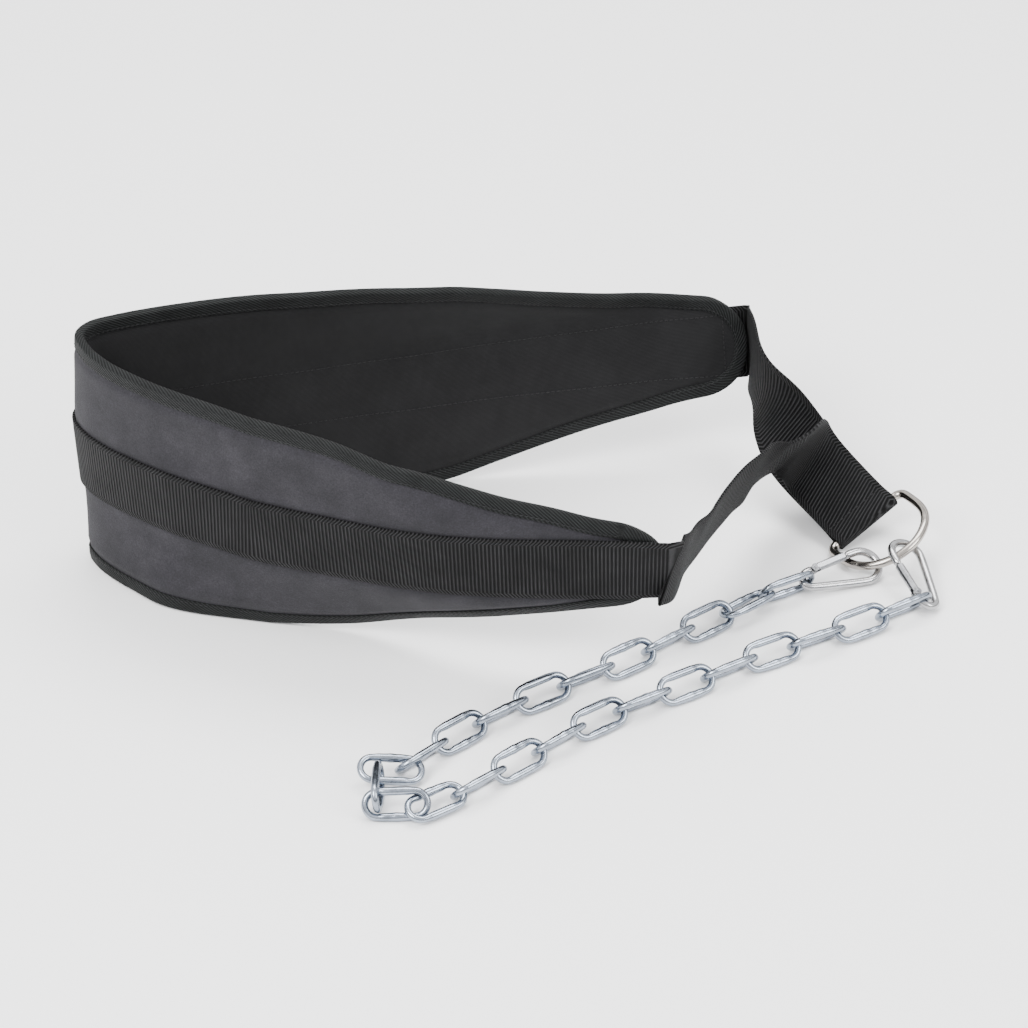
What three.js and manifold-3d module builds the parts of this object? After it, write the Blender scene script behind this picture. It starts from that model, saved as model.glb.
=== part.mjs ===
import * as THREE from 'three';
import Module from 'manifold-3d';

const wasm = await Module();
wasm.setup();
const { Manifold } = wasm;

// Sizes of the padded back piece, in millimetres.
const padLength = 890;
const padWidth = 175;
const padThick = 7;
const padEdgeThick = 4.2;
const padCorner = 30;
const padTaper = 5;

// Sizes of the tape bound round its edge.
const tapeThick = 0.9;
const tapeFlange = 9;
const tapeRound = 0.7;
const tapeGap = 0.45;

// Sizes of the webbing.
const webWidth = 50;
const webThick = 2;
const pastEnd = 4;
const bandFlat = 26;
const bandBend = 12;

// The room left between neighbouring pieces.
const gap = 0.3;

// Sizes of the ring the webbing hangs on.
const ringWire = 6;
const ringWidth = 64;
const ringDepth = 49;
const ringCorner = 6;
const ringBulge = 3.2;
const ringFullness = 0.9;

// Sizes of a snap hook.
const hookLength = 62;
const hookWire = 6;
const hookBig = 11.5;
const hookSmall = 6;
const pinRoom = 3;
const eyeRadius = 2.7;
const eyeThick = 5.6;
const tongueThick = 2.2;
const tongueRadius = 2.5;
const slotWidth = 3;
const slotDepth = 6.2;
const rivetRadius = 1.3;
const rivetHeight = 0.4;

// Sizes of a chain link.
const linkWire = 4.5;
const linkLength = 43.5;
const linkWidth = 20.5;

// How finely round things are cut.
const wireSides = 6;
const ringSides = 8;
const bowSteps = 6;
const ringSteps = 20;
const ringBend = 3;
const hookSteps = 9;
const cornerSteps = 5;
const gateSides = 12;
const strapSteps = 3;
const wrapSteps = 6;
const coarseStep = 23;
const fineStep = 5;
const fineReach = 46;

const up = new THREE.Vector3(0, 0, 1);
const quarter = Math.PI / 2;
const tiny = 1e-6;

// The line of the pad seen from above, near end first, in shares of its length.
const padPath = [
  { x: 0.421, y: -0.161 },
  { x: 0.379, y: -0.160 },
  { x: 0.337, y: -0.158 },
  { x: 0.296, y: -0.155 },
  { x: 0.253, y: -0.148 },
  { x: 0.192, y: -0.128 },
  { x: 0.124, y: -0.102 },
  { x: 0.072, y: -0.076 },
  { x: 0.047, y: -0.059 },
  { x: 0.027, y: -0.043 },
  { x: 0.011, y: -0.025 },
  { x: 0.004, y: -0.008 },
  { x: 0.011, y: 0.007 },
  { x: 0.028, y: 0.017 },
  { x: 0.055, y: 0.028 },
  { x: 0.092, y: 0.040 },
  { x: 0.126, y: 0.050 },
  { x: 0.160, y: 0.059 },
  { x: 0.203, y: 0.073 },
  { x: 0.248, y: 0.085 },
  { x: 0.293, y: 0.097 },
  { x: 0.338, y: 0.107 },
  { x: 0.383, y: 0.117 },
  { x: 0.428, y: 0.130 },
  { x: 0.473, y: 0.138 },
  { x: 0.491, y: 0.142 },
];

// Half the pad's width in shares of the whole width, by share of the length from the middle.
const padHalf = [
  { at: 0.00, half: 0.500 },
  { at: 0.11, half: 0.500 },
  { at: 0.19, half: 0.489 },
  { at: 0.26, half: 0.469 },
  { at: 0.30, half: 0.414 },
  { at: 0.33, half: 0.366 },
  { at: 0.37, half: 0.306 },
  { at: 0.39, half: 0.280 },
  { at: 0.42, half: 0.248 },
  { at: 0.45, half: 0.211 },
  { at: 0.48, half: 0.188 },
  { at: 0.50, half: 0.182 },
];

// How the pad leans in degrees, by share of its length, and its middle's height in shares of its width.
const padLean = [
  { at: -0.50, top: -22, web: 12, bottom: 31, lift: 0.52 },
  { at: -0.46, top: -22, web: 8, bottom: 31, lift: 0.517 },
  { at: -0.39, top: -18, web: 8, bottom: 28, lift: 0.51 },
  { at: -0.33, top: -6, web: 8.5, bottom: 31, lift: 0.505 },
  { at: -0.30, top: 4, web: 8.5, bottom: 29, lift: 0.5 },
  { at: -0.19, top: 2, web: 5, bottom: 11, lift: 0.49 },
  { at: -0.12, top: 2, web: 5, bottom: -4, lift: 0.49 },
  { at: -0.08, top: 1, web: 5, bottom: -2, lift: 0.49 },
  { at: -0.03, top: -3, web: 3, bottom: 0, lift: 0.49 },
  { at: 0.10, top: -8, web: 0, bottom: 0, lift: 0.49 },
  { at: 0.19, top: -15, web: 1, bottom: 0, lift: 0.49 },
  { at: 0.26, top: -22, web: 3, bottom: 1, lift: 0.49 },
  { at: 0.33, top: -24, web: 7, bottom: 2, lift: 0.49 },
  { at: 0.39, top: -24, web: 12, bottom: 2, lift: 0.487 },
  { at: 0.45, top: -24, web: 18, bottom: 5, lift: 0.472 },
  { at: 0.50, top: -24, web: 22, bottom: 5, lift: 0.466 },
];

// The ring's bar: its middle, the way it runs, and the way the webbing reaches it.
const barMiddle = new THREE.Vector3(0.588 * padLength, 0.012 * padLength, 0.3 * webWidth);
const barWay = new THREE.Vector3(0.763, 0.513, 0.392).normalize();
const tabWay = new THREE.Vector3(0.642, -0.672, -0.370);
const ringWay = new THREE.Vector3(0.511, -0.851, 0.12);

// The strap from the ring to the pad's near end: its middle from the bar in webbing widths, and its
// cross line.
const nearStrap = [
  { x: -0.70, y: 0.71, z: 0.46, acrossX: 0.48, acrossY: 0.72, acrossZ: 0.50 },
  { x: -0.79, y: 0.62, z: 0.70, acrossX: 0.42, acrossY: 0.32, acrossZ: 0.85 },
  { x: -0.85, y: 0.46, z: 0.88, acrossX: 0.22, acrossY: -0.35, acrossZ: 0.91 },
  { x: -0.95, y: 0.25, z: 0.97, acrossX: 0.05, acrossY: -0.65, acrossZ: 0.76 },
  { x: -1.34, y: -0.05, z: 0.96, acrossX: 0, acrossY: -0.63, acrossZ: 0.78 },
  { x: -1.58, y: -0.52, z: 1.05, acrossX: 0, acrossY: -0.56, acrossZ: 0.83 },
  { x: -1.80, y: -0.91, z: 1.11, acrossX: 0, acrossY: -0.51, acrossZ: 0.86 },
  { x: -2.10, y: -1.47, z: 1.10, acrossX: 0, acrossY: -0.56, acrossZ: 0.83 },
  { x: -2.29, y: -1.88, z: 1.07, acrossX: 0, acrossY: -0.64, acrossZ: 0.77 },
  { x: -2.44, y: -2.24, z: 1.11, acrossX: 0, acrossY: -0.58, acrossZ: 0.81 },
  { x: -2.53, y: -2.60, z: 1.20, acrossX: 0.08, acrossY: -0.42, acrossZ: 0.90 },
  { x: -2.60, y: -2.93, z: 1.34, acrossX: 0.10, acrossY: -0.25, acrossZ: 0.96 },
];

// The strap between the pad's far end and the ring, in the same way.
const farStrap = [
  { x: -1.45, y: 2.32, z: 1.33, acrossX: 0, acrossY: -0.05, acrossZ: 1 },
  { x: -1.47, y: 2.02, z: 1.30, acrossX: 0.05, acrossY: -0.45, acrossZ: 0.89 },
  { x: -1.43, y: 1.70, z: 1.24, acrossX: 0.16, acrossY: -0.67, acrossZ: 0.72 },
  { x: -1.18, y: 1.35, z: 1.00, acrossX: 0.7, acrossY: -0.55, acrossZ: 0.42 },
  { x: -0.90, y: 0.98, z: 0.57, acrossX: 0.93, acrossY: 0, acrossZ: 0.38 },
];

// How far from the bar the two layers of webbing lie close together, in webbing widths.
const lowerLayer = [0.96, 0.6, 0.3];
const upperLayer = [0.2, 0.5];

// Each hook: its middle in shares of the pad's length, the way it runs and the way its gate lies.
const hooks = [
  {
    name: 'snap_hook_left',
    x: 0.5661, y: -0.0443, z: 0.0096,
    way: new THREE.Vector3(0.916, 0.4, -0.01),
    gate: new THREE.Vector3(-0.349, 0.811, 0.469),
  },
  {
    name: 'snap_hook_right',
    x: 0.6214, y: -0.0553, z: 0.0153,
    way: new THREE.Vector3(-0.311, 0.909, 0.279),
    gate: new THREE.Vector3(-0.857, -0.395, 0.331),
  },
];

// The chain's two lying strands seen from above, in link lengths.
const outRoute = [
  { x: 9.504, y: -2.163 },
  { x: 8.17, y: -3.20 },
  { x: 6.90, y: -4.03 },
  { x: 5.80, y: -4.90 },
  { x: 5.266, y: -5.435 },
];
const backRoute = [
  { x: 6.09, y: -6.06 },
  { x: 6.67, y: -5.56 },
  { x: 7.86, y: -4.55 },
  { x: 9.13, y: -3.75 },
  { x: 10.44, y: -2.94 },
  { x: 11.123, y: -2.582 },
];
const outLeans = [-45, 50, -45, 50, -45, 50, -45, 50];
const backLeans = [-50, 45, -50, 45, -50, 45, -50, 45, -50];

// The links that lie in ways of their own: place in link lengths, then their turns in degrees.
const firstLinks = [
  { x: 10.736, y: -1.332, z: 0.224, heading: 210, lean: 68, rise: 0 },
  { x: 10.127, y: -1.719, z: 0.198, heading: 217.8, lean: 22.7, rise: -1.9 },
];
const turnLinks = [
  { x: 4.831, y: -5.797, z: 0.223, heading: 187.3, lean: -25.5, rise: 8.4 },
  { x: 4.654, y: -6.229, z: 0.254, heading: 267.5, lean: 99, rise: 4.7 },
  { x: 4.921, y: -6.562, z: 0.201, heading: 2.9, lean: 53.5, rise: 0 },
  { x: 5.484, y: -6.46, z: 0.157, heading: 34.1, lean: 20.6, rise: 0.4 },
];
const lastLinks = [
  { x: 11.809, y: -2.211, z: 0.195, heading: 30.6, lean: 38.8, rise: 0.8 },
  { x: 12.48, y: -1.813, z: 0.208, heading: 30.8, lean: -55, rise: 1.1 },
];

// The colours of the pieces, and how rough they are.
const feltGrey = 0x3b393f;
const tapeBlack = 0x15181a;
const webBlack = 0x161618;
const nickel = 0xb9b4ad;
const hookSteel = 0xc4c8cc;
const gateSteel = 0xb4b9be;
const zinc = 0xb9c2cc;
const clothRough = 0.95;
const metalRough = 0.25;

function fabric(colour) {
  return new THREE.MeshStandardMaterial({ color: colour, roughness: clothRough, metalness: 0 });
}
function metal(colour) {
  return new THREE.MeshStandardMaterial({ color: colour, roughness: metalRough, metalness: 1 });
}
const group = new THREE.Group();

// Adds one closed piece, turned right side out.
function addPiece(name, points, faces, material) {
  const flat = points.flatMap((p) => [p.x, p.y, p.z]);
  let volume = 0;
  for (let i = 0; i < faces.length; i += 3) {
    const [a, b, c] = [points[faces[i]], points[faces[i + 1]], points[faces[i + 2]]];
    volume += a.dot(b.clone().cross(c));
  }
  const order = volume < 0 ? faces.slice().reverse() : faces;
  const geometry = new THREE.BufferGeometry();
  geometry.setAttribute('position', new THREE.Float32BufferAttribute(flat, 3));
  geometry.setIndex(order);
  geometry.computeVertexNormals();
  const mesh = new THREE.Mesh(geometry, material);
  mesh.name = name;
  group.add(mesh);
}

// Skins a run of rings; a closed run joins up, an open one gets two flat ends.
function skin(rings, closed) {
  const around = rings[0].length;
  const faces = [];
  const spans = closed ? rings.length : rings.length - 1;
  for (let i = 0; i < spans; i += 1) {
    const here = i * around;
    const next = ((i + 1) % rings.length) * around;
    for (let j = 0; j < around; j += 1) {
      const k = (j + 1) % around;
      faces.push(here + j, here + k, next + k);
      faces.push(here + j, next + k, next + j);
    }
  }
  if (!closed) {
    const last = (rings.length - 1) * around;
    for (let j = 1; j < around - 1; j += 1) {
      faces.push(0, j + 1, j);
      faces.push(last, last + j, last + j + 1);
    }
  }
  return { points: rings.flat(), faces };
}

// Reads a table of rows at a place between them, smoothly.
function rowAt(rows, at) {
  const last = rows.length - 1;
  if (at <= rows[0].at) return rows[0];
  if (at >= rows[last].at) return rows[last];
  const i = rows.findIndex((row, k) => k < last && at >= row.at && at <= rows[k + 1].at);
  const [a, b] = [rows[i], rows[i + 1]];
  const span = b.at - a.at;
  const s = (at - a.at) / span;
  const result = {};
  for (const key of Object.keys(a)) {
    const before = rows[Math.max(i - 1, 0)];
    const after = rows[Math.min(i + 2, last)];
    const slopeA = i > 0 ? (b[key] - before[key]) / (b.at - before.at) : (b[key] - a[key]) / span;
    const slopeB = i + 2 <= last ? (after[key] - a[key]) / (after.at - a.at) : (b[key] - a[key]) / span;
    const ease = s * s * (3 - 2 * s);
    const leave = s * (1 - s) * (1 - s) * span * slopeA;
    const arrive = s * s * (s - 1) * span * slopeB;
    result[key] = a[key] + (b[key] - a[key]) * ease + leave + arrive;
  }
  return result;
}

const padCurve = new THREE.CatmullRomCurve3(
  padPath.map((row) => new THREE.Vector3(row.x * padLength, row.y * padLength, 0)),
  false,
  'centripetal',
);
padCurve.arcLengthDivisions = 800;
const padStretch = padCurve.getLength() / padLength;

// Where the pad's middle line runs at a distance from its centre, its heading and its outward side.
function padPlace(u) {
  const share = THREE.MathUtils.clamp(u / padLength + 0.5, 0, 1);
  const beyond = u - (share - 0.5) * padLength;
  const way = padCurve.getTangentAt(share);
  const place = padCurve.getPointAt(share).divideScalar(padStretch).addScaledVector(way, beyond);
  return { place, way, out: new THREE.Vector3(-way.y, way.x, 0) };
}

// How far a height on the pad lies outward and up from its middle line, and how it leans there.
function padBend(u, v) {
  const row = rowAt(padLean, u / padLength);
  const web = THREE.MathUtils.degToRad(row.web);
  const goal = THREE.MathUtils.degToRad(v > 0 ? row.top : row.bottom);
  const side = v < 0 ? -1 : 1;
  const far = Math.abs(v);
  const flat = Math.min(far, bandFlat);
  const bent = THREE.MathUtils.clamp(far - bandFlat, 0, bandBend);
  const straight = Math.max(far - bandFlat - bandBend, 0);
  const turn = (goal - web) / bandBend;
  const lean = web + turn * bent;
  const still = Math.abs(turn) < tiny;
  const bendOut = still ? bent * Math.sin(web) : (Math.cos(web) - Math.cos(lean)) / turn;
  const bendUp = still ? bent * Math.cos(web) : (Math.sin(lean) - Math.sin(web)) / turn;
  const out = flat * Math.sin(web) + bendOut + straight * Math.sin(lean);
  const rise = flat * Math.cos(web) + bendUp + straight * Math.cos(lean);
  return { out: side * out, rise: side * rise, lean };
}

// Half the pad's width before its corners are rounded.
function fullHalf(u) {
  return rowAt(padHalf, Math.abs(u) / padLength).half * padWidth;
}

// Half the pad's width with its rounded corners.
function cutHalf(u) {
  const past = Math.max(Math.abs(u) - (padLength / 2 - padCorner), 0);
  const drop = padCorner - Math.sqrt(Math.max(padCorner * padCorner - past * past, 0));
  return fullHalf(u) - drop;
}

// The height of the pad's middle line: high enough for its taped lower edge to stand on the floor.
function middleHeight(u) {
  const edge = fullHalf(u) + tapeGap + tapeThick;
  const low = padBend(u, -edge);
  const toe = (padEdgeThick / 2 + tapeGap) * Math.abs(Math.sin(low.lean));
  return Math.max(toe - low.rise, rowAt(padLean, u / padLength).lift * padWidth);
}

// A point on the pad's middle sheet, or at a distance outward from it.
function padPoint(u, v, lift) {
  const { place, out } = padPlace(u);
  const bend = padBend(u, v);
  const point = place.clone().addScaledVector(out, bend.out);
  point.z = middleHeight(u) + bend.rise;
  const away = out.clone().multiplyScalar(Math.cos(bend.lean)).addScaledVector(up, -Math.sin(bend.lean));
  return point.addScaledVector(away, lift);
}

// How far inside the pad's outline a point lies.
function inside(u, v) {
  const alongCorner = Math.abs(u) - (padLength / 2 - padCorner);
  const acrossCorner = Math.abs(v) - (fullHalf(u) - padCorner);
  const ease = THREE.MathUtils.clamp(alongCorner, 0, tapeFlange);
  if (alongCorner > 0 && acrossCorner > 0) return padCorner - Math.hypot(alongCorner, acrossCorner) - ease;
  return Math.min(padLength / 2 - Math.abs(u) - ease, fullHalf(u) - Math.abs(v));
}

// Half the pad's thickness: thin under the tape, full within.
function padHalfThick(u, v) {
  const s = THREE.MathUtils.smoothstep(inside(u, v), tapeFlange + tapeGap, tapeFlange + tapeGap + padTaper);
  return THREE.MathUtils.lerp(padEdgeThick / 2, padThick / 2, s);
}

// The places along the pad where it is cut, close together round the back.
const straightEnd = padLength / 2 - padCorner;
const backAt = -0.022 * padLength;
const alongPad = [];
for (let u = -straightEnd; u < straightEnd - fineStep;) {
  alongPad.push(u);
  const fine = u > backAt - fineReach && u < backAt + fineReach;
  u += fine ? fineStep : coarseStep;
}
alongPad.push(straightEnd);
const cornerTurns = Array.from({ length: cornerSteps }, (_, k) => (quarter * (k + 1)) / cornerSteps);
const endPlaces = cornerTurns.map((turn) => straightEnd + padCorner * Math.sin(turn));
const padRows = [...endPlaces.map((u) => -u).reverse(), ...alongPad, ...endPlaces];

// The heights at which the pad is cut, from its middle to its edge.
const leastBand = 0.35;
const leastStep = 0.06;
function padHeights(u) {
  const half = cutHalf(u);
  const full = half - tapeFlange - tapeGap - padTaper;
  const band = Math.max(Math.min(bandFlat, full - webThick), half * leastBand);
  const thick = Math.max(full, band + half * leastStep);
  const thin = Math.max(half - tapeFlange, thick + half * leastStep);
  const bent = Math.min(band + bandBend, THREE.MathUtils.lerp(band, thick, 0.5));
  return [band, bent, thick, thin, half];
}

const padRings = padRows.map((u) => {
  const half = padHeights(u);
  const heights = [...half.map((v) => -v).reverse(), ...half];
  const outer = heights.map((v) => padPoint(u, v, padHalfThick(u, v)));
  const inner = heights.map((v) => padPoint(u, v, -padHalfThick(u, v))).reverse();
  return [...outer, ...inner];
});
const pad = skin(padRings, false);
addPiece('back_pad', pad.points, pad.faces, fabric(feltGrey));

// The pad's outline as a closed run of places.
const outline = [];
for (const u of alongPad) outline.push({ u, v: fullHalf(u) });
for (const u of endPlaces) outline.push({ u, v: cutHalf(u) });
for (const u of endPlaces.slice().reverse()) outline.push({ u, v: -cutHalf(u) });
const around = [...outline, ...alongPad.slice().reverse().map((u) => ({ u, v: -fullHalf(u) }))];
const farEnds = outline.slice(alongPad.length);
const closedOutline = [...around, ...farEnds.map((p) => ({ u: -p.u, v: -p.v }))];

// The tape's cut face: outward from the edge, then across the pad's thickness.
const tapeInner = padEdgeThick / 2 + tapeGap;
const tapeOuter = tapeInner + tapeThick;
const tapeEdge = tapeGap + tapeThick;
const tapeFace = [
  { out: -tapeFlange, lift: tapeOuter },
  { out: tapeEdge - tapeRound, lift: tapeOuter },
  { out: tapeEdge, lift: tapeOuter - tapeRound },
  { out: tapeEdge, lift: tapeRound - tapeOuter },
  { out: tapeEdge - tapeRound, lift: -tapeOuter },
  { out: -tapeFlange, lift: -tapeOuter },
  { out: -tapeFlange, lift: -tapeInner },
  { out: tapeGap, lift: -tapeInner },
  { out: tapeGap, lift: tapeInner },
  { out: -tapeFlange, lift: tapeInner },
];
const tapeRings = closedOutline.map((here, i) => {
  const before = closedOutline[(i + closedOutline.length - 1) % closedOutline.length];
  const after = closedOutline[(i + 1) % closedOutline.length];
  const ahead = new THREE.Vector2(after.u - here.u, after.v - here.v).normalize();
  const behind = new THREE.Vector2(here.u - before.u, here.v - before.v).normalize();
  const way = ahead.clone().add(behind).normalize();
  const widen = 1 / Math.max(way.dot(ahead), 0.5);
  const onLongEdge = Math.abs(here.u) <= straightEnd + tiny;
  const side = new THREE.Vector2(-way.y, way.x).multiplyScalar(widen);
  if (onLongEdge) side.set(0, Math.sign(here.v));
  return tapeFace.map((row) => padPoint(here.u + side.x * row.out, here.v + side.y * row.out, row.lift));
});
const tape = skin(tapeRings.reverse(), true);
addPiece('edge_binding', tape.points, tape.faces, fabric(tapeBlack));

// The webbing: one closed band round the pad's outside, through the ring and back.
const onPad = padThick / 2 + gap + webThick / 2;
const bandRows = [];
for (const u of [-padLength / 2 - pastEnd, ...padRows, padLength / 2 + pastEnd]) {
  const place = padPoint(u, 0, onPad);
  bandRows.push({ place, across: padPoint(u, bandFlat, onPad).sub(place).normalize() });
}
const tabUp = tabWay.clone().cross(barWay).normalize();
const lift = webThick / 2 + gap;
const wrap = ringWire / 2 + gap + webThick / 2;

function strapRow(row) {
  const place = new THREE.Vector3(row.x, row.y, row.z).multiplyScalar(webWidth).add(barMiddle);
  return { place, across: new THREE.Vector3(row.acrossX, row.acrossY, row.acrossZ).normalize() };
}
function layerRow(share, height) {
  const place = barMiddle.clone().addScaledVector(tabWay, -share * webWidth).addScaledVector(tabUp, height);
  return { place, across: barWay.clone() };
}
const lowerRows = lowerLayer.map((share) => layerRow(share, -lift));
const upperRows = upperLayer.map((share) => layerRow(share, lift));
const wrapRows = Array.from({ length: wrapSteps + 1 }, (_, k) => {
  const turn = -quarter + (2 * quarter * k) / wrapSteps;
  const place = barMiddle.clone().addScaledVector(tabWay, wrap * Math.cos(turn));
  return { place: place.addScaledVector(tabUp, wrap * Math.sin(turn)), across: barWay.clone() };
});

// Fills in rows between the chosen ones along a smooth line.
function smoothRows(rows, first, last) {
  const placeLine = new THREE.CatmullRomCurve3(rows.map((row) => row.place), false, 'centripetal');
  const acrossLine = new THREE.CatmullRomCurve3(rows.map((row) => row.across), false, 'catmullrom', 0.5);
  const spans = rows.length - 1;
  const result = [];
  for (let i = first * strapSteps; i <= last * strapSteps; i += 1) {
    const t = i / (spans * strapSteps);
    result.push({ place: placeLine.getPoint(t), across: acrossLine.getPoint(t).normalize() });
  }
  return result;
}
const farRun = [...bandRows.slice(-2), ...farStrap.map(strapRow), ...lowerRows];
const nearRun = [...upperRows, ...nearStrap.map(strapRow), ...bandRows.slice(0, 2)];
const farSmooth = smoothRows(farRun, 1, farRun.length - 1).slice(1);
const nearSmooth = smoothRows(nearRun, 0, nearRun.length - 2).slice(0, -1);
const band = [...bandRows, ...farSmooth, ...wrapRows, ...nearSmooth];
const bandRings = band.map((row, i) => {
  const before = band[(i + band.length - 1) % band.length].place;
  const after = band[(i + 1) % band.length].place;
  const way = after.clone().sub(before).normalize();
  const across = row.across.clone().addScaledVector(way, -row.across.dot(way)).normalize();
  const out = across.clone().cross(way);
  const corner = (side, face) => row.place.clone()
    .addScaledVector(across, (side * webWidth) / 2)
    .addScaledVector(out, (face * webThick) / 2);
  return [corner(-1, -1), corner(1, -1), corner(1, 1), corner(-1, 1)];
});
const webbing = skin(bandRings, true);
addPiece('webbing', webbing.points, webbing.faces, fabric(webBlack));

// A round wire along a line lying in one plane.
function wireRings(line, normal, radius, sides, closed) {
  return line.map((point, i) => {
    const last = line.length - 1;
    const before = line[closed ? (i + last) % line.length : Math.max(i - 1, 0)];
    const after = line[closed ? (i + 1) % line.length : Math.min(i + 1, last)];
    const way = after.clone().sub(before).normalize();
    const side = way.clone().cross(normal).normalize();
    return Array.from({ length: sides }, (_, k) => {
      const turn = ((k + 0.5) * 2 * Math.PI) / sides;
      return point.clone()
        .addScaledVector(side, radius * Math.cos(turn))
        .addScaledVector(normal, radius * Math.sin(turn));
    });
  });
}

// The D-shaped ring: a straight bar, two tight corners and a full bow.
const ringHalf = ringWidth / 2;
const barShares = [-1, -0.33, 0.33, 1];
const ringLine = [];
const ringPoint = (b, d) => barMiddle.clone().addScaledVector(barWay, b).addScaledVector(ringWay, d);
for (const share of barShares) ringLine.push(ringPoint(share * (ringHalf - ringCorner), 0));
for (let k = 1; k <= ringBend; k += 1) {
  const turn = (quarter * k) / ringBend;
  const b = ringHalf - ringCorner + ringCorner * Math.sin(turn);
  ringLine.push(ringPoint(b, ringCorner - ringCorner * Math.cos(turn)));
}
for (let k = 1; k < ringSteps; k += 1) {
  const turn = (2 * quarter * k) / ringSteps;
  const wide = ringHalf + ringBulge * Math.sin(2 * turn) ** 2;
  const b = Math.sign(Math.cos(turn)) * wide * Math.abs(Math.cos(turn)) ** ringFullness;
  ringLine.push(ringPoint(b, ringCorner + (ringDepth - ringCorner) * Math.sin(turn)));
}
for (let k = ringBend; k >= 1; k -= 1) {
  const turn = (quarter * k) / ringBend;
  const b = ringHalf - ringCorner + ringCorner * Math.sin(turn);
  ringLine.push(ringPoint(-b, ringCorner - ringCorner * Math.cos(turn)));
}
const ringNormal = barWay.clone().cross(ringWay).normalize();
const ring = skin(wireRings(ringLine, ringNormal, ringWire / 2, ringSides, true), true);
addPiece('d_ring', ring.points, ring.faces, metal(nickel));

// The line of a hook in its own plane: nose, big bow, spine, small bow and hinge end.
const bigAt = hookLength / 2 - hookWire / 2 - hookBig;
const smallAt = -(hookLength / 2 - hookWire / 2 - hookSmall);
const slope = Math.asin((hookBig - hookSmall) / (bigAt - smallAt));
const gateBig = new THREE.Vector2(bigAt - hookBig * Math.sin(slope), hookBig * Math.cos(slope));
const gateSmall = new THREE.Vector2(smallAt - hookSmall * Math.sin(slope), hookSmall * Math.cos(slope));
const noseShare = 0.8;
const hingeShare = 0.1;
const noseAt = gateSmall.clone().lerp(gateBig, noseShare);
const hingeAt = gateSmall.clone().lerp(gateBig, hingeShare);
const gateWay = gateBig.clone().sub(gateSmall).normalize();

// The tongue's cut faces, in shares of the pin's room and of the tongue's radius.
const tongueRows = [
  { along: 0, high: 1 },
  { along: 1, high: 1 },
  { along: 1.45, high: 0.87 },
  { along: 1.75, high: 0.5 },
];

for (const hook of hooks) {
  const way = hook.way.clone().normalize();
  const gateSide = hook.gate.clone().addScaledVector(way, -hook.gate.dot(way)).normalize();
  const normal = way.clone().cross(gateSide);
  const middle = new THREE.Vector3(hook.x, hook.y, hook.z).multiplyScalar(padLength);
  const at = (x, y) => middle.clone().addScaledVector(way, x).addScaledVector(gateSide, y);
  const line = [at(noseAt.x, noseAt.y)];
  for (let k = 0; k <= hookSteps; k += 1) {
    const turn = quarter + slope - ((2 * quarter + 2 * slope) * k) / hookSteps;
    line.push(at(bigAt + hookBig * Math.cos(turn), hookBig * Math.sin(turn)));
  }
  for (let k = 0; k <= bowSteps; k += 1) {
    const turn = -quarter - slope - ((2 * quarter - 2 * slope) * k) / bowSteps;
    line.push(at(smallAt + hookSmall * Math.cos(turn), hookSmall * Math.sin(turn)));
  }
  line.push(at(hingeAt.x, hingeAt.y));
  const rings = wireRings(line, normal, hookWire / 2, ringSides, false);
  const gateLine = way.clone().multiplyScalar(gateWay.x).addScaledVector(gateSide, gateWay.y);
  const gateUp = normal.clone().cross(gateLine);
  // The flat tongue the gate's eye turns on.
  const tongue = tongueRows.map((row) => {
    const centre = at(hingeAt.x, hingeAt.y).addScaledVector(gateLine, row.along * pinRoom);
    return Array.from({ length: ringSides }, (_, k) => {
      const turn = ((k + 0.5) * 2 * Math.PI) / ringSides;
      return centre.clone()
        .addScaledVector(gateUp, -row.high * tongueRadius * Math.cos(turn))
        .addScaledVector(normal, (tongueThick / 2) * Math.sin(turn));
    });
  });
  const body = skin([...rings, ...tongue], false);
  addPiece(`${hook.name}_body`, body.points, body.faces, metal(hookSteel));

  // The gate: a round bar with a forked eye at its hinge and a slit at its nose.
  const gateLength = noseAt.distanceTo(hingeAt) - gap;
  const bar = Manifold.cylinder(gateLength - pinRoom, hookWire / 2, hookWire / 2, gateSides)
    .translate([0, 0, pinRoom]);
  const eye = Manifold.cylinder(eyeThick, eyeRadius, eyeRadius, gateSides, true)
    .rotate([90, 0, 0]).translate([0, 0, pinRoom]);
  const slot = Manifold.cube([2 * hookWire, slotWidth, 2 * slotDepth], true);
  const rivet = Manifold.cylinder(hookWire + 2 * rivetHeight, rivetRadius, rivetRadius, gateSides, true)
    .rotate([90, 0, 0]).translate([0, 0, pinRoom]);
  const gateSolid = bar.add(eye).add(rivet).subtract(slot);
  const mesh = gateSolid.getMesh();
  const points = [];
  for (let i = 0; i < mesh.numVert; i += 1) {
    const [x, y, z] = mesh.vertProperties.slice(i * mesh.numProp, i * mesh.numProp + 3);
    points.push(at(hingeAt.x, hingeAt.y)
      .addScaledVector(gateUp, x)
      .addScaledVector(normal, y)
      .addScaledVector(gateLine, z));
  }
  addPiece(`${hook.name}_gate`, points, Array.from(mesh.triVerts), metal(gateSteel));
}

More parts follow.
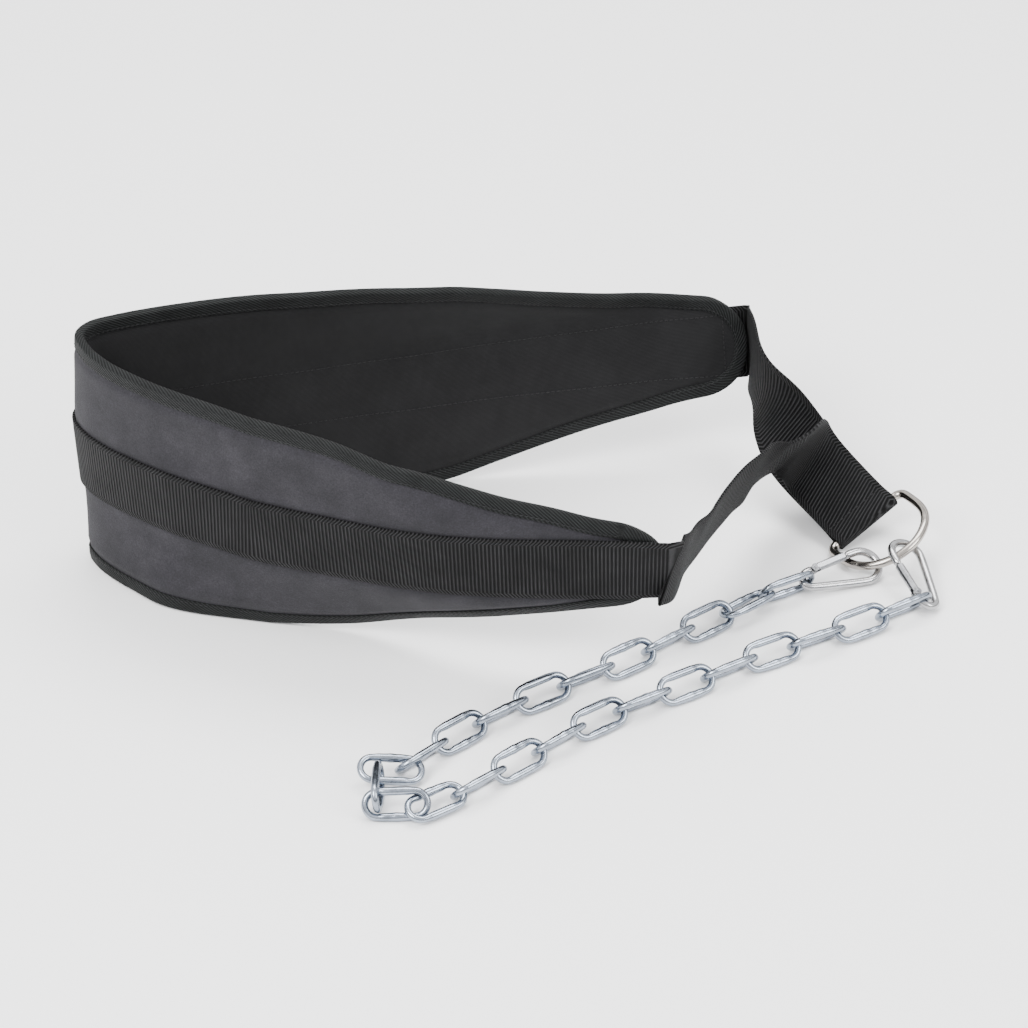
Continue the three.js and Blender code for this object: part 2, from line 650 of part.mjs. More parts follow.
// One chain link: an oval of wire at a place, with a heading and a lean.
const bowRadius = linkWidth / 2 - linkWire / 2;
const bowAt = linkLength / 2 - linkWire / 2 - bowRadius;
let linkCount = 0;
function addLink(middle, row) {
  linkCount += 1;
  const heading = THREE.MathUtils.degToRad(row.heading);
  const lean = THREE.MathUtils.degToRad(row.lean);
  const rise = THREE.MathUtils.degToRad(row.rise);
  const level = new THREE.Vector3(-Math.sin(heading), Math.cos(heading), 0);
  const flat = new THREE.Vector3(Math.cos(heading), Math.sin(heading), 0);
  const way = flat.multiplyScalar(Math.cos(rise)).addScaledVector(up, Math.sin(rise));
  const steep = way.clone().cross(level);
  const side = level.clone().multiplyScalar(Math.cos(lean)).addScaledVector(steep, Math.sin(lean));
  const normal = way.clone().cross(side);
  const line = [];
  for (const end of [1, -1]) {
    for (let k = 0; k <= bowSteps; k += 1) {
      const bow = -quarter + (2 * quarter * k) / bowSteps;
      line.push(middle.clone()
        .addScaledVector(way, end * (bowAt + bowRadius * Math.cos(bow)))
        .addScaledVector(side, end * bowRadius * Math.sin(bow)));
    }
  }
  const link = skin(wireRings(line, normal, linkWire / 2, wireSides, true), true);
  const number = String(linkCount).padStart(2, '0');
  addPiece(`chain_link_${number}`, link.points, link.faces, metal(zinc));
}

// Lays links along one strand, evenly spaced, with the leans given.
function layStrand(route, leans) {
  const points = route.map((p) => new THREE.Vector3(p.x, p.y, 0).multiplyScalar(linkLength));
  const line = new THREE.CatmullRomCurve3(points, false, 'centripetal');
  const sines = leans.map((lean) => Math.abs(Math.sin(THREE.MathUtils.degToRad(lean))));
  const lows = sines.map((sine) => bowRadius * sine + linkWire / 2);
  leans.forEach((lean, i) => {
    const share = i / (leans.length - 1);
    const place = line.getPointAt(share);
    const way = line.getTangentAt(share);
    const low = lows[i];
    const level = ((lows[i - 1] ?? low) + (lows[i + 1] ?? low)) / 2;
    const heading = THREE.MathUtils.radToDeg(Math.atan2(way.y, way.x));
    place.z = Math.max(low, level);
    addLink(place, { heading, lean, rise: 0 });
  });
}
function placeLinks(rows) {
  for (const row of rows) addLink(new THREE.Vector3(row.x, row.y, row.z).multiplyScalar(linkLength), row);
}
placeLinks(firstLinks);
layStrand(outRoute, outLeans);
placeLinks(turnLinks);
layStrand(backRoute, backLeans);
placeLinks(lastLinks);

// The whole stands on the floor with its middle over the origin.
const box = new THREE.Box3().setFromObject(group);
const centre = box.getCenter(new THREE.Vector3());
for (const piece of group.children) piece.geometry.translate(-centre.x, -centre.y, -box.min.z);

export default group;
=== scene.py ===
"""Dresses the dip belt: padded back, bound edge, webbing, ring, hooks and chain."""
import math

import bmesh
import bpy
import numpy as np
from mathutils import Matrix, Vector


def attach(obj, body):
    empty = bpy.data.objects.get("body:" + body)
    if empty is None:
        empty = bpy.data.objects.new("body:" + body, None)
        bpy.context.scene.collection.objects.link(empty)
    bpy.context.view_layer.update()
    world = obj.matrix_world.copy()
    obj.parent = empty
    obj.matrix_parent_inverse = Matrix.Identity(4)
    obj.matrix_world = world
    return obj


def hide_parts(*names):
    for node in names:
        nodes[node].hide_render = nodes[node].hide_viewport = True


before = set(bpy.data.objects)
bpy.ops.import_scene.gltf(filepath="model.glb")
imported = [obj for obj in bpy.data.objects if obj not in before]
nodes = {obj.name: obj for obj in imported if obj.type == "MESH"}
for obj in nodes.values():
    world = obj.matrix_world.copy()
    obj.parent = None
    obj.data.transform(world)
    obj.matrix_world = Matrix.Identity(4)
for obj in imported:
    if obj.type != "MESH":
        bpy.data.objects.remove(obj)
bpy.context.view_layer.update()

# Sizes, in millimetres, as the solids have them.
PAD_LENGTH = 890
PAD_WIDTH = 175
PAD_THICK = 7
PAD_EDGE = 4.2
PAD_CORNER = 30
PAD_TAPER = 5
TAPE_THICK = 0.9
TAPE_FLANGE = 9
TAPE_GAP = 0.15
WEB_WIDTH = 50
WEB_THICK = 2
BAND_FLAT = 26
BAND_BEND = 12
GAP = 0.3
RING_WIRE = 6
LINK_WIRE = 4.5
LINK_LENGTH = 43.5
LINK_WIDTH = 20.5
MM = 0.001

# The line of the pad seen from above, near end first, in shares of its length.
PAD_PATH = [
    (0.421, -0.161), (0.379, -0.160), (0.337, -0.158), (0.296, -0.155), (0.253, -0.148),
    (0.192, -0.128), (0.124, -0.102), (0.072, -0.076), (0.047, -0.059), (0.027, -0.043),
    (0.011, -0.025), (0.004, -0.008), (0.011, 0.007), (0.028, 0.017), (0.055, 0.028),
    (0.092, 0.040), (0.126, 0.050), (0.160, 0.059), (0.203, 0.073), (0.248, 0.085),
    (0.293, 0.097), (0.338, 0.107), (0.383, 0.117), (0.428, 0.130), (0.473, 0.138),
    (0.491, 0.142),
]

# Half the pad's width in shares of the width, by share of the length from the middle.
PAD_HALF = [
    (0.00, 0.500), (0.11, 0.500), (0.19, 0.489), (0.26, 0.469), (0.30, 0.414), (0.33, 0.366),
    (0.37, 0.306), (0.39, 0.280), (0.42, 0.248), (0.45, 0.211), (0.48, 0.188), (0.50, 0.182),
]

# Share of the length, lean of the top, the band and the bottom in degrees, height of the middle.
PAD_LEAN = [
    (-0.50, -22, 12, 31, 0.52), (-0.46, -22, 8, 31, 0.517), (-0.39, -18, 8, 28, 0.51),
    (-0.33, -6, 8.5, 31, 0.505), (-0.30, 4, 8.5, 29, 0.5), (-0.19, 2, 5, 11, 0.49),
    (-0.12, 2, 5, -4, 0.49), (-0.08, 1, 5, -2, 0.49), (-0.03, -3, 3, 0, 0.49),
    (0.10, -8, 0, 0, 0.49), (0.19, -15, 1, 0, 0.49), (0.26, -22, 3, 1, 0.49),
    (0.33, -24, 7, 2, 0.49), (0.39, -24, 12, 2, 0.487), (0.45, -24, 18, 5, 0.472),
    (0.50, -24, 22, 5, 0.466),
]

# The ring's bar and the way the webbing reaches it.
BAR_MIDDLE = np.array([0.588 * PAD_LENGTH, 0.012 * PAD_LENGTH, 0.3 * WEB_WIDTH])
BAR_WAY = np.array([0.763, 0.513, 0.392])
BAR_WAY = BAR_WAY / np.linalg.norm(BAR_WAY)
TAB_WAY = np.array([0.642, -0.672, -0.370])

# The two straps: middles from the bar in webbing widths, then their cross lines.
NEAR_STRAP = [
    (-0.70, 0.71, 0.46, 0.48, 0.72, 0.50), (-0.79, 0.62, 0.70, 0.42, 0.32, 0.85),
    (-0.85, 0.46, 0.88, 0.22, -0.35, 0.91), (-0.95, 0.25, 0.97, 0.05, -0.65, 0.76),
    (-1.34, -0.05, 0.96, 0, -0.63, 0.78), (-1.58, -0.52, 1.05, 0, -0.56, 0.83),
    (-1.80, -0.91, 1.11, 0, -0.51, 0.86), (-2.10, -1.47, 1.10, 0, -0.56, 0.83),
    (-2.29, -1.88, 1.07, 0, -0.64, 0.77), (-2.44, -2.24, 1.11, 0, -0.58, 0.81),
    (-2.53, -2.60, 1.20, 0.08, -0.42, 0.90), (-2.60, -2.93, 1.34, 0.10, -0.25, 0.96),
]
FAR_STRAP = [
    (-1.45, 2.32, 1.33, 0, -0.05, 1), (-1.47, 2.02, 1.30, 0.05, -0.45, 0.89),
    (-1.43, 1.70, 1.24, 0.16, -0.67, 0.72), (-1.18, 1.35, 1.00, 0.7, -0.55, 0.42),
    (-0.90, 0.98, 0.57, 0.93, 0, 0.38),
]
LOWER_LAYER = [0.96, 0.6, 0.3]
UPPER_LAYER = [0.2, 0.5]
WRAP_STEPS = 8
STRAP_STEPS = 10
PAST_END = 4

# Shallow dents in the pad: place along and across in shares of its sizes, reach and depth in mm.
DENTS = [
    (-0.145, 0.24, 26, 1.6), (-0.21, 0.20, 16, 1.2), (0.05, 0.3, 30, 1.2), (-0.05, -0.33, 30, 1.0),
]
RIPPLE = 0.35
DENT_EASE = 18.0
BAND_EASE = 8.0
RIM_ROUND = 1.6
RIM_SHARE = 0.35
INNER_DENT = 0.6


def unit(v):
    v = np.asarray(v, float)
    return v / np.linalg.norm(v, axis=-1, keepdims=True)


def row_at(rows, at):
    """A table's row at a place between its rows, smoothly."""
    if at <= rows[0][0]:
        return rows[0]
    if at >= rows[-1][0]:
        return rows[-1]
    i = next(k for k in range(len(rows) - 1) if rows[k][0] <= at <= rows[k + 1][0])
    a, b = rows[i], rows[i + 1]
    before, after = rows[max(i - 1, 0)], rows[min(i + 2, len(rows) - 1)]
    span = b[0] - a[0]
    s = (at - a[0]) / span
    result = []
    for k in range(len(a)):
        slope_a = (b[k] - before[k]) / (b[0] - before[0]) if i > 0 else (b[k] - a[k]) / span
        slope_b = (after[k] - a[k]) / (after[0] - a[0]) if i + 2 < len(rows) else (b[k] - a[k]) / span
        ease = s * s * (3 - 2 * s)
        leave = s * (1 - s) * (1 - s) * span * slope_a
        arrive = s * s * (s - 1) * span * slope_b
        result.append(a[k] + (b[k] - a[k]) * ease + leave + arrive)
    return result


def catmull(points, t, tension=None):
    """A point on a smooth line through the points, centripetal unless a tension is given."""
    points = np.asarray(points, float)
    last = len(points) - 1
    p = t * last
    i = min(int(p), last - 1)
    w = p - i
    p1, p2 = points[i], points[i + 1]
    p0 = points[i - 1] if i > 0 else 2 * p1 - p2
    p3 = points[i + 2] if i + 2 <= last else 2 * p2 - p1
    if tension is None:
        pairs = ((p0, p1), (p1, p2), (p2, p3))
        d0, d1, d2 = (math.sqrt(max(np.linalg.norm(b - a), 1e-6)) for a, b in pairs)
        t1 = ((p1 - p0) / d0 - (p2 - p0) / (d0 + d1) + (p2 - p1) / d1) * d1
        t2 = ((p2 - p1) / d1 - (p3 - p1) / (d1 + d2) + (p3 - p2) / d2) * d1
    else:
        t1, t2 = tension * (p2 - p0), tension * (p3 - p1)
    c2, c3 = -3 * p1 + 3 * p2 - 2 * t1 - t2, 2 * p1 - 2 * p2 + t1 + t2
    return p1 + t1 * w + c2 * w * w + c3 * w ** 3


PATH_SAMPLES = 4000
path_points = [(x * PAD_LENGTH, y * PAD_LENGTH, 0) for x, y in PAD_PATH]
path_line = np.array([catmull(path_points, k / PATH_SAMPLES) for k in range(PATH_SAMPLES + 1)])
path_run = np.r_[0, np.cumsum(np.linalg.norm(np.diff(path_line, axis=0), axis=1))]
PAD_STRETCH = path_run[-1] / PAD_LENGTH


def along_path(share):
    return np.array([np.interp(share * path_run[-1], path_run, path_line[:, k]) for k in range(3)])


def pad_place(u):
    share = min(max(u / PAD_LENGTH + 0.5, 0), 1)
    beyond = u - (share - 0.5) * PAD_LENGTH
    near = 0.002
    way = unit(along_path(min(share + near, 1)) - along_path(max(share - near, 0)))
    place = along_path(share) / PAD_STRETCH + way * beyond
    return place, way, np.array([-way[1], way[0], 0])


def pad_bend(row, v):
    web = math.radians(row[2])
    goal = math.radians(row[1] if v > 0 else row[3])
    side = -1 if v < 0 else 1
    far = abs(v)
    flat = min(far, BAND_FLAT)
    bent = min(max(far - BAND_FLAT, 0), BAND_BEND)
    straight = max(far - BAND_FLAT - BAND_BEND, 0)
    turn = (goal - web) / BAND_BEND
    lean = web + turn * bent
    still = abs(turn) < 1e-6
    bend_out = bent * math.sin(web) if still else (math.cos(web) - math.cos(lean)) / turn
    bend_up = bent * math.cos(web) if still else (math.sin(lean) - math.sin(web)) / turn
    out = flat * math.sin(web) + bend_out + straight * math.sin(lean)
    rise = flat * math.cos(web) + bend_up + straight * math.cos(lean)
    return side * out, side * rise, lean


def full_half(u):
    return row_at(PAD_HALF, abs(u) / PAD_LENGTH)[1] * PAD_WIDTH


def cut_half(u):
    past = max(abs(u) - (PAD_LENGTH / 2 - PAD_CORNER), 0)
    return full_half(u) - (PAD_CORNER - math.sqrt(max(PAD_CORNER ** 2 - past ** 2, 0)))


SOLID_GAP = 0.45


class Section:
    """The pad's cross line at one place along it."""

    def __init__(self, u):
        self.row = row_at(PAD_LEAN, u / PAD_LENGTH)
        self.place, self.way, self.out = pad_place(u)
        low_out, low_rise, low_lean = pad_bend(self.row, -(full_half(u) + SOLID_GAP + TAPE_THICK))
        toe = (PAD_EDGE / 2 + SOLID_GAP) * abs(math.sin(low_lean))
        self.height = max(toe - low_rise, self.row[4] * PAD_WIDTH)

    def point(self, v, lift):
        out, rise, lean = pad_bend(self.row, v)
        point = self.place + self.out * out
        point[2] = self.height + rise
        return point + (self.out * math.cos(lean) - np.array([0, 0, 1]) * math.sin(lean)) * lift


sections = {}


def pad_point(u, v, lift):
    key = round(u, 3)
    if key not in sections:
        sections[key] = Section(u)
    return sections[key].point(v, lift)


def inside(u, v):
    along = abs(u) - (PAD_LENGTH / 2 - PAD_CORNER)
    across = abs(v) - (full_half(u) - PAD_CORNER)
    ease = min(max(along, 0), TAPE_FLANGE)
    if along > 0 and across > 0:
        return PAD_CORNER - math.hypot(along, across) - ease
    return min(PAD_LENGTH / 2 - abs(u) - ease, full_half(u) - abs(v))


def half_thick(u, v):
    s = min(max((inside(u, v) - TAPE_FLANGE - 0.4) / PAD_TAPER, 0), 1)
    s = s * s * (3 - 2 * s)
    return PAD_EDGE / 2 + (PAD_THICK - PAD_EDGE) / 2 * s


def dent(u, v):
    """How far the pad's sheet is pressed in at a place."""
    depth = RIPPLE * math.sin(u / 31.0 + v / 23.0) * math.sin(u / 47.0 - v / 37.0)
    for at_u, at_v, reach, deep in DENTS:
        far = math.hypot(u - at_u * PAD_LENGTH, v - at_v * PAD_WIDTH) / reach
        depth -= deep * math.exp(-far * far)
    edge = min(max(inside(u, v) / DENT_EASE, 0), 1)
    band = min(max((abs(v) - BAND_FLAT) / BAND_EASE, 0), 1)
    return depth * edge * band


# The placing of the working frame over the finished one, taken from the ring's own box.
bar_solid = np.array([v.co for v in nodes["d_ring"].data.vertices]) / MM


def ring_line():
    half, corner, depth, bulge, full = 32, 6, 49, 3.2, 0.9
    ring_way = np.array([0.511, -0.851, 0.12])
    line = [(s * (half - corner), 0) for s in (-1, -0.6, -0.2, 0.2, 0.6, 1)]
    for k in range(1, 6):
        turn = math.pi / 2 * k / 5
        line.append((half - corner + corner * math.sin(turn), corner - corner * math.cos(turn)))
    for k in range(1, 40):
        turn = math.pi * k / 40
        wide = half + bulge * math.sin(2 * turn) ** 2
        b = math.copysign(wide * abs(math.cos(turn)) ** full, math.cos(turn))
        line.append((b, corner + (depth - corner) * math.sin(turn)))
    for k in range(5, 0, -1):
        turn = math.pi / 2 * k / 5
        line.append((-(half - corner + corner * math.sin(turn)), corner - corner * math.cos(turn)))
    return np.array([BAR_MIDDLE + BAR_WAY * b + ring_way * d for b, d in line])


ring_points = ring_line()
ring_low, ring_high = ring_points.min(0) - RING_WIRE / 2, ring_points.max(0) + RING_WIRE / 2
SHIFT = (bar_solid.min(0) + bar_solid.max(0)) / 2 - (ring_low + ring_high) / 2


def make_mesh(name, points, faces, uvs=None, second=None, smooth=True, materials=(), kinds=None):
    """A mesh object from points in the working frame, with its uv layers given per point."""
    mesh = bpy.data.meshes.new(name)
    mesh.from_pydata([tuple((np.asarray(p) + SHIFT) * MM) for p in points], [], faces)
    for layer, values in (("UVMap", uvs), ("Slant", second)):
        if values is None:
            continue
        uv = mesh.uv_layers.new(name=layer)
        loops = np.array([loop.vertex_index for loop in mesh.loops])
        uv.data.foreach_set("uv", np.asarray(values, np.float32)[loops].ravel())
    for material in materials:
        mesh.materials.append(material)
    if kinds is not None:
        mesh.polygons.foreach_set("material_index", np.asarray(kinds, np.int32))
    mesh.polygons.foreach_set("use_smooth", [smooth] * len(mesh.polygons))
    mesh.update()
    thing = bpy.data.objects.new(name, mesh)
    bpy.context.scene.collection.objects.link(thing)
    return thing


def ring_faces(count, around, closed):
    faces = []
    for i in range(count if closed else count - 1):
        a, b = i * around, (i + 1) % count * around
        for j in range(around):
            k = (j + 1) % around
            faces.append((a + j, b + j, b + k, a + k))
    if not closed:
        faces.append(tuple(range(around)))
        faces.append(tuple(reversed(range((count - 1) * around, count * around))))
    return faces


def outward(thing):
    """Turns every face of a closed mesh outward."""
    bm = bmesh.new()
    bm.from_mesh(thing.data)
    bmesh.ops.recalc_face_normals(bm, faces=bm.faces)
    bm.to_mesh(thing.data)
    bm.free()
    return thing


# Materials.


SOCKETS = {
    "sheen_weight": "Sheen Weight",
    "sheen_roughness": "Sheen Roughness",
    "specular_ior_level": "Specular IOR Level",
    "metallic": "Metallic",
}


class Paint:
    """A material with helpers that add and join its nodes."""

    def __init__(self, name):
        self.material = bpy.data.materials.new(name)
        self.material.use_nodes = True
        self.tree = self.material.node_tree
        self.shader = self.tree.nodes["Principled BSDF"]

    def add(self, kind, **settings):
        node = self.tree.nodes.new(kind)
        for key, value in settings.items():
            if hasattr(node, key):
                setattr(node, key, value)
            else:
                node.inputs[key.replace("_", " ").title()].default_value = value
        return node

    def join(self, source, target):
        self.tree.links.new(source, target)

    def where(self, layer=None, scale=(1, 1, 1), turn=0.0):
        """Coordinates: the object's own, or a uv layer's, in metres, scaled and turned."""
        if layer is None:
            source = self.add("ShaderNodeTexCoord").outputs["Object"]
        else:
            source = self.add("ShaderNodeUVMap", uv_map=layer).outputs["UV"]
        mapping = self.add("ShaderNodeMapping")
        mapping.inputs["Scale"].default_value = scale
        mapping.inputs["Rotation"].default_value = (0, 0, turn)
        self.join(source, mapping.inputs["Vector"])
        return mapping.outputs["Vector"]

    def noise(self, place, scale, detail=4.0, rough=0.6):
        node = self.add("ShaderNodeTexNoise", scale=scale, detail=detail, roughness=rough)
        self.join(place, node.inputs["Vector"])
        return node.outputs["Fac"]

    def wave(self, place, scale, direction="X", distortion=0.0):
        node = self.add("ShaderNodeTexWave", bands_direction=direction, scale=scale, distortion=distortion)
        self.join(place, node.inputs["Vector"])
        return node.outputs["Fac"]

    def ramp(self, value, stops):
        node = self.add("ShaderNodeValToRGB")
        ramp = node.color_ramp
        while len(ramp.elements) < len(stops):
            ramp.elements.new(0.5)
        for element, (at, colour) in zip(ramp.elements, stops):
            element.position = at
            element.color = (*colour, 1)
        self.join(value, node.inputs["Fac"])
        return node.outputs["Color"]

    def math(self, how, a, b):
        node = self.add("ShaderNodeMath", operation=how)
        for value, socket in ((a, node.inputs[0]), (b, node.inputs[1])):
            if isinstance(value, (int, float)):
                socket.default_value = value
            else:
                self.join(value, socket)
        return node.outputs[0]

    def mix(self, how, share, a, b):
        node = self.add("ShaderNodeMix", data_type="RGBA", blend_type=how)
        for value, socket in ((share, node.inputs[0]), (a, node.inputs[6]), (b, node.inputs[7])):
            if isinstance(value, (int, float)):
                socket.default_value = value
            elif isinstance(value, tuple):
                socket.default_value = (*value, 1)
            else:
                self.join(value, socket)
        return node.outputs[2]

    def bump(self, height, strength, distance, under=None):
        node = self.add("ShaderNodeBump")
        node.inputs["Strength"].default_value = strength
        node.inputs["Distance"].default_value = distance
        self.join(height, node.inputs["Height"])
        if under is not None:
            self.join(under, node.inputs["Normal"])
        return node.outputs["Normal"]

    def finish(self, colour=None, rough=None, normal=None, **plain):
        for value, socket in ((colour, "Base Color"), (rough, "Roughness"), (normal, "Normal")):
            if value is None:
                continue
            if isinstance(value, (int, float)):
                self.shader.inputs[socket].default_value = value
            elif isinstance(value, tuple):
                self.shader.inputs[socket].default_value = (*value, 1)
            else:
                self.join(value, self.shader.inputs[socket])
        for key, value in plain.items():
            self.shader.inputs[SOCKETS[key]].default_value = value
        return self.material


def cloth_outer():
    p = Paint("pad_outer_felt")
    place = p.where()
    blotch = p.noise(place, 38, 5, 0.65)
    fibre = p.noise(place, 900, 3, 0.7)
    grain = p.noise(place, 2600, 2, 0.6)
    tones = [(0.3, (0.0135, 0.013, 0.0155)), (0.55, (0.0195, 0.0185, 0.022)), (0.75, (0.027, 0.0255, 0.030))]
    specks = [(0.3, (0.62, 0.62, 0.64)), (0.5, (1, 1, 1)), (0.72, (1.5, 1.5, 1.54))]
    colour = p.ramp(blotch, tones)
    speck = p.ramp(fibre, specks)
    colour = p.mix("MULTIPLY", 0.8, colour, speck)
    normal = p.bump(fibre, 0.35, 0.0006)
    normal = p.bump(grain, 0.25, 0.0003, normal)
    return p.finish(colour, 0.95, normal, sheen_weight=0.05, sheen_roughness=0.6, specular_ior_level=0.15)


def cloth_inner():
    p = Paint("pad_inner_knit")
    place = p.where("UVMap")
    columns = p.wave(place, 330, "Y")
    courses = p.wave(place, 420, "X", 0.6)
    knit = p.math("MULTIPLY", columns, courses)
    blotch = p.noise(p.where(), 30, 4, 0.6)
    tones = [(0.0, (0.006, 0.006, 0.0065)), (0.6, (0.013, 0.013, 0.0135)), (1.0, (0.021, 0.021, 0.022))]
    colour = p.ramp(knit, tones)
    shade = p.ramp(blotch, [(0.3, (0.8, 0.8, 0.8)), (0.7, (1.15, 1.15, 1.15))])
    colour = p.mix("MULTIPLY", 1.0, colour, shade)
    normal = p.bump(knit, 0.4, 0.0004)
    return p.finish(colour, 0.9, normal, sheen_weight=0.04, sheen_roughness=0.5, specular_ior_level=0.15)


def tape_twill():
    p = Paint("binding_twill")
    ribs = p.wave(p.where("UVMap", turn=math.radians(58)), 175, "X", 0.4)
    fine = p.noise(p.where("UVMap", scale=(1, 0.4, 1)), 2400, 3, 0.6)
    blotch = p.noise(p.where(), 60, 4, 0.6)
    tones = [(0.0, (0.0012, 0.0014, 0.0014)), (0.5, (0.0035, 0.004, 0.004)), (1.0, (0.0135, 0.015, 0.015))]
    colour = p.ramp(ribs, tones)
    shade = p.ramp(blotch, [(0.3, (0.75, 0.75, 0.75)), (0.7, (1.3, 1.3, 1.3))])
    colour = p.mix("MULTIPLY", 1.0, colour, shade)
    normal = p.bump(ribs, 0.7, 0.0005)
    normal = p.bump(fine, 0.3, 0.0002, normal)
    rough = p.math("ADD", 0.55, p.math("MULTIPLY", fine, 0.3))
    return p.finish(colour, rough, normal, sheen_weight=0.02, sheen_roughness=0.4, specular_ior_level=0.15)


def webbing_ribs_painted_light():
    p = Paint("webbing_ribs_painted_light")
    slant = p.where("Slant")
    ribs = p.wave(slant, 126, "X", 0.25)
    threads = p.wave(p.where("UVMap"), 560, "Y", 0.5)
    fine = p.noise(p.where("UVMap"), 1800, 3, 0.6)
    blotch = p.noise(p.where(), 45, 4, 0.6)
    # The ribs' tones are painted light: rib tops are lighter as a painted highlight and grooves are near
    # black as painted shade, on top of the real rib bumps.
    tones = [(0.0, (0.0006, 0.0006, 0.0007)), (0.5, (0.002, 0.002, 0.0022)), (1.0, (0.021, 0.021, 0.022))]
    colour = p.ramp(ribs, tones)
    shade = p.ramp(blotch, [(0.3, (0.7, 0.7, 0.7)), (0.7, (1.35, 1.35, 1.35))])
    colour = p.mix("MULTIPLY", 1.0, colour, shade)
    speck = p.ramp(fine, [(0.3, (0.7, 0.7, 0.7)), (0.7, (1.4, 1.4, 1.4))])
    colour = p.mix("MULTIPLY", 0.7, colour, speck)
    normal = p.bump(ribs, 0.9, 0.0009)
    normal = p.bump(threads, 0.25, 0.0002, normal)
    rough = p.math("ADD", 0.6, p.math("MULTIPLY", fine, 0.3))
    return p.finish(colour, rough, normal, sheen_weight=0.02, sheen_roughness=0.4, specular_ior_level=0.12)


def thread_paint(name, colour):
    p = Paint(name)
    ply = p.noise(p.where(), 3500, 2, 0.5)
    shades = [(0.3, tuple(0.6 * c for c in colour)), (0.7, tuple(1.5 * c for c in colour))]
    normal = p.bump(ply, 0.3, 0.0002)
    return p.finish(p.ramp(ply, shades), 0.6, normal, sheen_weight=0.03, specular_ior_level=0.2)


def bright_metal(name, colour, rough, worn):
    p = Paint(name)
    place = p.where()
    smear = p.noise(place, 90, 5, 0.65)
    scratch = p.noise(p.where(scale=(1, 1, 6)), 700, 3, 0.6)
    pits = p.noise(place, 1500, 2, 0.5)
    dark = tuple(c * (1 - worn) for c in colour)
    tone = p.ramp(smear, [(0.3, dark), (0.6, colour), (0.8, tuple(min(c * 1.08, 1) for c in colour))])
    roughness = p.math("ADD", rough, p.math("MULTIPLY", p.math("SUBTRACT", smear, 0.5), 0.25))
    roughness = p.math("ADD", roughness, p.math("MULTIPLY", scratch, 0.06))
    normal = p.bump(scratch, 0.06, 0.0002)
    normal = p.bump(pits, 0.05, 0.0002, normal)
    return p.finish(tone, roughness, normal, metallic=1.0)


OUTER = cloth_outer()
INNER = cloth_inner()
TWILL = tape_twill()
RIBS_PAINTED_LIGHT = webbing_ribs_painted_light()
DARK_THREAD = thread_paint("dark_thread", (0.012, 0.012, 0.013))
GREY_THREAD = thread_paint("grey_thread", (0.009, 0.009, 0.0095))
NICKEL = bright_metal("ring_nickel", (0.40, 0.37, 0.34), 0.15, 0.2)
HOOK_METAL = bright_metal("hook_nickel", (0.42, 0.42, 0.425), 0.18, 0.25)
GATE_METAL = bright_metal("gate_steel", (0.36, 0.365, 0.38), 0.24, 0.25)
ZINC = bright_metal("chain_zinc", (0.31, 0.345, 0.40), 0.2, 0.35)

# The pad.

STRAIGHT_END = PAD_LENGTH / 2 - PAD_CORNER
PAD_STEP = 4
straight = list(np.linspace(-STRAIGHT_END, STRAIGHT_END, int(2 * STRAIGHT_END / PAD_STEP) + 1))
corner_turns = [math.pi / 2 * k / 10 for k in range(1, 11)]
ends = [STRAIGHT_END + PAD_CORNER * math.sin(turn) for turn in corner_turns]
pad_rows = [-u for u in reversed(ends)] + straight + ends
ACROSS = 25


def across_shares():
    """Shares of the half width, closer together near the edge."""
    return [math.sin(math.pi / 2 * k / ACROSS) ** 0.9 for k in range(ACROSS + 1)]


def make_pad():
    points, uvs, kinds = [], [], []
    shares = across_shares()
    signed = [-s for s in reversed(shares[1:])] + shares
    for u in pad_rows:
        half = max(cut_half(u), 0.6)
        outer, inner = [], []
        for s in signed:
            v = s * half
            t, d = half_thick(u, v), dent(u, v)
            # the rim is rounded off between the two faces
            rim = min(max((1 - abs(s)) * half / RIM_ROUND, 0), 1)
            t *= RIM_SHARE + (1 - RIM_SHARE) * math.sqrt(1 - (1 - rim) ** 2)
            outer.append(pad_point(u, v, t + d))
            inner.append(pad_point(u, v, -t + d * INNER_DENT))
        points += outer + inner[::-1]
        uvs += [(u * MM, s * half * MM) for s in signed] + [(u * MM, s * half * MM) for s in signed[::-1]]
    around = 2 * len(signed)
    faces = ring_faces(len(pad_rows), around, False)
    for face in faces[:-2]:
        kinds.append(0 if (face[0] % around) < len(signed) - 1 or face[0] % around == around - 1 else 1)
    kinds += [0, 0]
    pad = make_mesh("pad_cloth", points, faces, uvs, materials=(OUTER, INNER), kinds=kinds)
    outward(pad)
    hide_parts("back_pad")
    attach(pad, "belt")
    return pad


pad = make_pad()


# The tape bound round the edge.


TAPE_SOFT = 0.35
TAPE_PUFF = 0.12


